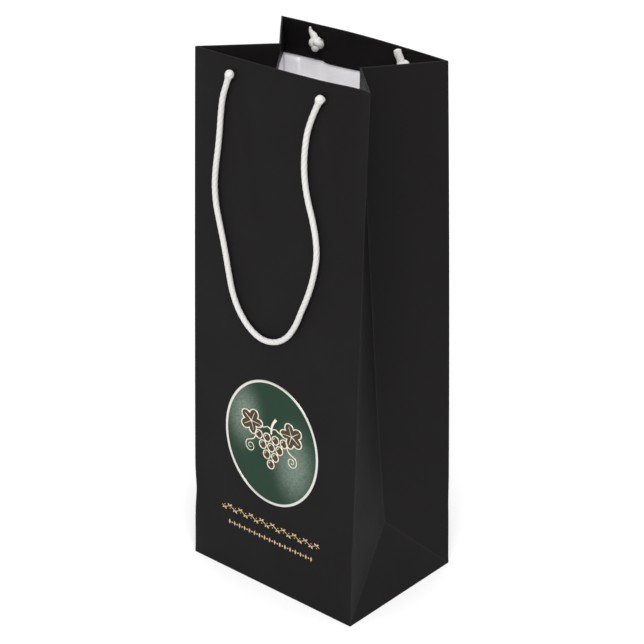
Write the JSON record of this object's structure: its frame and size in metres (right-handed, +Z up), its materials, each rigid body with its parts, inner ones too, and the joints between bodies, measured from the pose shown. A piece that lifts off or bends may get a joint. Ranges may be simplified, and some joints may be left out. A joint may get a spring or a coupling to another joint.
{
  "type": "wine gift bag",
  "caption": "Tall black paper bottle bag with inward side gussets, turned-in hems, a folded flat foot and looped white cord handles knotted inside.",
  "frame": {"origin": "centre of the foot, on the surface the bag stands on", "axes": "+Z up, X across the broad front and back panels, the front panel with the lower, longer handle loop faces -Y"},
  "size_m": [0.133, 0.098, 0.3418],
  "materials": {
    "matt_black_paper": "matt laminated art paper, printed black outside",
    "white_paper_back": "unprinted white back of the art paper",
    "grey_board": "plain grey board",
    "white_twisted_cord": "soft twisted white cord"
  },
  "bodies": {
    "bag": {"back_hem": "matt_black_paper", "back_left_cord_knot": "white_twisted_cord", "back_panel": "matt_black_paper", "back_right_cord_knot": "white_twisted_cord", "back_top_card": "grey_board", "base_card": "grey_board", "bottom_flap_back": "matt_black_paper", "bottom_flap_front": "matt_black_paper", "bottom_flap_left": "white_paper_back", "bottom_flap_right": "white_paper_back", "front_hem": "matt_black_paper", "front_left_cord_knot": "white_twisted_cord", "front_panel": "matt_black_paper", "front_right_cord_knot": "white_twisted_cord", "front_top_card": "grey_board", "left_foot_triangle": "matt_black_paper", "left_gusset_back": "matt_black_paper", "left_gusset_back_hem": "matt_black_paper", "left_gusset_front": "matt_black_paper", "left_gusset_front_hem": "matt_black_paper", "right_foot_triangle": "matt_black_paper", "right_gusset_back": "matt_black_paper", "right_gusset_back_hem": "matt_black_paper", "right_gusset_front": "matt_black_paper", "right_gusset_front_hem": "matt_black_paper", "seam_glue_tab": "white_paper_back"},
    "front_handle": {"front_handle_cord": "white_twisted_cord"},
    "back_handle": {"back_handle_cord": "white_twisted_cord"}
  },
  "joints": [
    {"name": "front_handle_swing", "type": "hinge", "parent": "bag", "child": "front_handle", "pos_m": [0, -0.04173, 0.32961], "axis": [-1, 0, 0], "range_deg": [0, 180]},
    {"name": "back_handle_swing", "type": "hinge", "parent": "bag", "child": "back_handle", "pos_m": [0, 0.04173, 0.32961], "axis": [1, 0, 0], "range_deg": [0, 180]}
  ]
}
